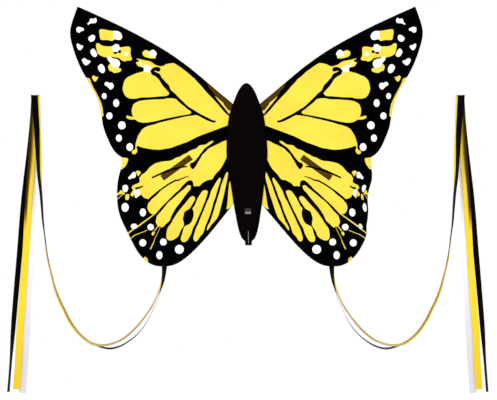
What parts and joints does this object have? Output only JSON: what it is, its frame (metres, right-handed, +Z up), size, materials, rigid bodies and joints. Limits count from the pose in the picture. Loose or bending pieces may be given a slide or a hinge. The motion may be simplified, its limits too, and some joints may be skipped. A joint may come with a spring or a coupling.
{
  "type": "delta kite",
  "caption": "Butterfly-shaped single-line delta kite with rods in sewn sleeves, wings that fold back about the spine and three ribbon tails on each wing.",
  "frame": {"origin": "centre of the tow eyelet's bore, on the ridge in front of the body", "axes": "+X across the wings to the right seen from the front, +Y from the front to the back, +Z up the body to the nose"},
  "size_m": [1.7526, 0.0764, 1.4235],
  "materials": {
    "printed_ripstop": "woven, printed black and white",
    "black_cloth": "fine woven polyester",
    "black_tape": "ribbed binding tape",
    "black_ribbon": "light woven ribbon",
    "yellow_ribbon": "light woven ribbon",
    "white_ribbon": "light woven ribbon",
    "white_cord": "braided cord",
    "grey_label": "blank woven patch",
    "fibreglass_rod": "pultruded fibreglass",
    "black_plastic": "moulded nylon",
    "black_metal": "enamelled brass eyelet"
  },
  "bodies": {
    "spine": {"spine_rod": "fibreglass_rod", "spine_sleeve_upper": "black_cloth", "spine_sleeve_lower": "black_cloth", "nose_pocket": "black_cloth", "body_back_panel": "black_cloth", "left_body_panel": "black_cloth", "right_body_panel": "black_cloth", "ridge_tape": "black_tape", "tow_eyelet": "black_metal", "tail_pocket": "black_cloth", "spine_end_cap": "black_plastic", "tension_cord": "white_cord", "plain_label": "grey_label"},
    "left_wing": {"left_sail": "printed_ripstop", "left_leading_edge_spar": "fibreglass_rod", "left_leading_edge_sleeve": "black_cloth", "left_wing_tip_cap": "black_plastic", "left_lower_strut": "fibreglass_rod", "left_strut_end_cap": "black_plastic", "left_strut_pocket": "black_cloth", "left_ribbon_tab": "black_cloth", "left_ribbon_black": "black_ribbon", "left_ribbon_yellow": "yellow_ribbon", "left_ribbon_white": "white_ribbon", "left_hub_yoke": "black_plastic"},
    "right_wing": {"right_sail": "printed_ripstop", "right_leading_edge_spar": "fibreglass_rod", "right_leading_edge_sleeve": "black_cloth", "right_wing_tip_cap": "black_plastic", "right_lower_strut": "fibreglass_rod", "right_strut_end_cap": "black_plastic", "right_strut_pocket": "black_cloth", "right_ribbon_tab": "black_cloth", "right_ribbon_black": "black_ribbon", "right_ribbon_yellow": "yellow_ribbon", "right_ribbon_white": "white_ribbon", "right_hub_yoke": "black_plastic"}
  },
  "joints": [
    {"name": "left_wing_fold", "type": "hinge", "parent": "spine", "child": "left_wing", "pos_m": [0, 0.0585, -0.008], "axis": [0, 0, -1], "range_deg": [0, 80]},
    {"name": "right_wing_fold", "type": "hinge", "parent": "spine", "child": "right_wing", "pos_m": [0, 0.0585, -0.008], "axis": [0, 0, 1], "range_deg": [0, 80]}
  ]
}
